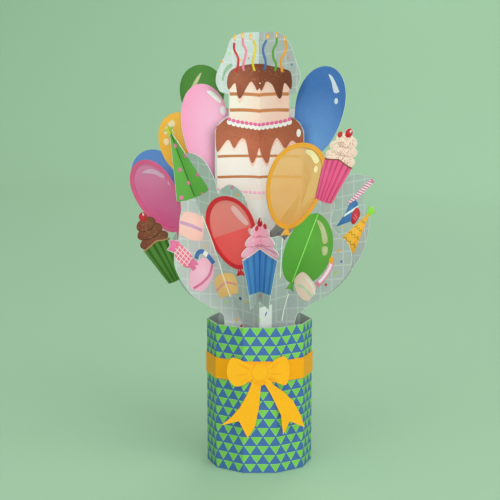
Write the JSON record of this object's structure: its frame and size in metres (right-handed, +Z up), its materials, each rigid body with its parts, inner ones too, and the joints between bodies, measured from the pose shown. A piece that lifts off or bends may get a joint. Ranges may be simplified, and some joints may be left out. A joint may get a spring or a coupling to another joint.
{
  "type": "pop-up card",
  "caption": "Pop-up greeting card standing open: a ten-sided folded paper vase with a ribbon bow holds folded die-cut sheets of balloons, a tiered cake, cupcakes and sweets.",
  "frame": {"origin": "middle of the underside of the vase, on the table", "axes": "+Z up along the axis of the vase, the front of the card faces -Y, +X to the viewer's right"},
  "size_m": [0.1525, 0.098, 0.2615],
  "materials": {
    "vase_card": "matte",
    "floor_card": "matte",
    "ribbon_card": "matte",
    "cupcake_card": "matte",
    "front_card": "matte",
    "cake_card": "matte",
    "balloon_card": "matte",
    "rear_card": "matte",
    "red_film": "gloss",
    "orange_film": "gloss",
    "magenta_film": "gloss"
  },
  "bodies": {
    "root": {"vase": "vase_card", "vase_floor": "floor_card", "ribbon_band": "ribbon_card", "ribbon_bow": "ribbon_card", "cupcake_sheet": "cupcake_card", "front_sheet": "front_card", "cake_sheet": "cake_card", "balloon_sheet": "balloon_card", "rear_sheet": "rear_card", "red_window": "red_film", "orange_window": "orange_film", "magenta_window": "magenta_film"}
  },
  "joints": []
}
